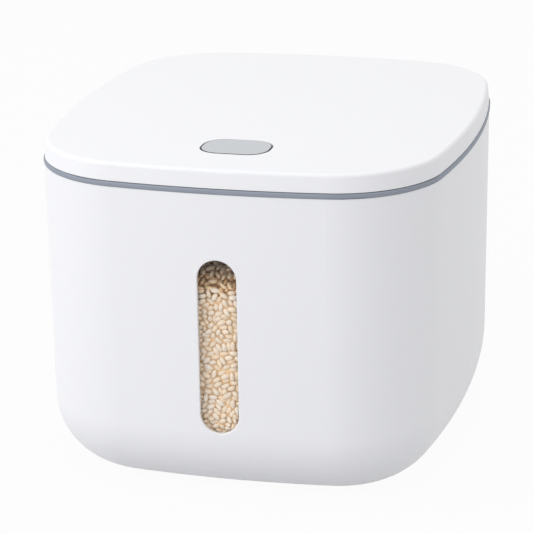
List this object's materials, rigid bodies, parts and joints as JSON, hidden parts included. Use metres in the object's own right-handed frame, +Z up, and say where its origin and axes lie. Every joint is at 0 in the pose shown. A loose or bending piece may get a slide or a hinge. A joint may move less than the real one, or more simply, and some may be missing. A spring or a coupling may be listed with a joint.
{
  "type": "rice bucket",
  "caption": "Rounded square rice bucket with a hinged press-to-open lid, a grey rim seal and a clear pill-shaped window in its front.",
  "frame": {"origin": "middle of the flat standing face under the bucket", "axes": "+Z up, front with window and button at -Y, hinge at +Y, X across"},
  "size_m": [0.231, 0.2709, 0.1855],
  "materials": {
    "white_plastic": "satin moulded polypropylene",
    "grey_silicone": "matte silicone",
    "grey_plastic": "satin moulded plastic",
    "clear_plastic": "clear polished plastic",
    "latch_plastic": "natural acetal",
    "steel": "bright drawn steel"
  },
  "bodies": {
    "bucket": {"bucket": "white_plastic", "rim_seal": "grey_silicone", "window_pane": "clear_plastic", "hinge_pin": "steel", "pin_clip": "steel", "hinge_spring_left": "steel", "hinge_spring_right": "steel"},
    "lid": {"lid_cover": "white_plastic", "lid_liner": "white_plastic", "liner_screws": "steel", "latch_retainer": "latch_plastic", "retainer_screws": "steel", "latch_spring": "steel"},
    "button": {"release_button": "grey_plastic"},
    "latch": {"latch_slider": "latch_plastic"}
  },
  "joints": [
    {"name": "lid_hinge", "type": "hinge", "parent": "bucket", "child": "lid", "pos_m": [0, 0.1351, 0.1745], "axis": [-1, 0, 0], "range_deg": [0, 100], "deforming": ["hinge_spring_left", "hinge_spring_right"]},
    {"name": "button_press", "type": "slide", "parent": "lid", "child": "button", "axis": [0, 0, -1], "range_m": [0, 0.0032], "stiffness_N_per_m": 600, "springref_m": -0.004},
    {"name": "latch_slide", "type": "slide", "parent": "lid", "child": "latch", "axis": [0, 1, 0], "range_m": [0, 0.0032], "deforming": ["latch_spring"]}
  ],
  "couplings": [
    {"joint": "latch_slide", "follows": "button_press", "ratio": 1}
  ]
}
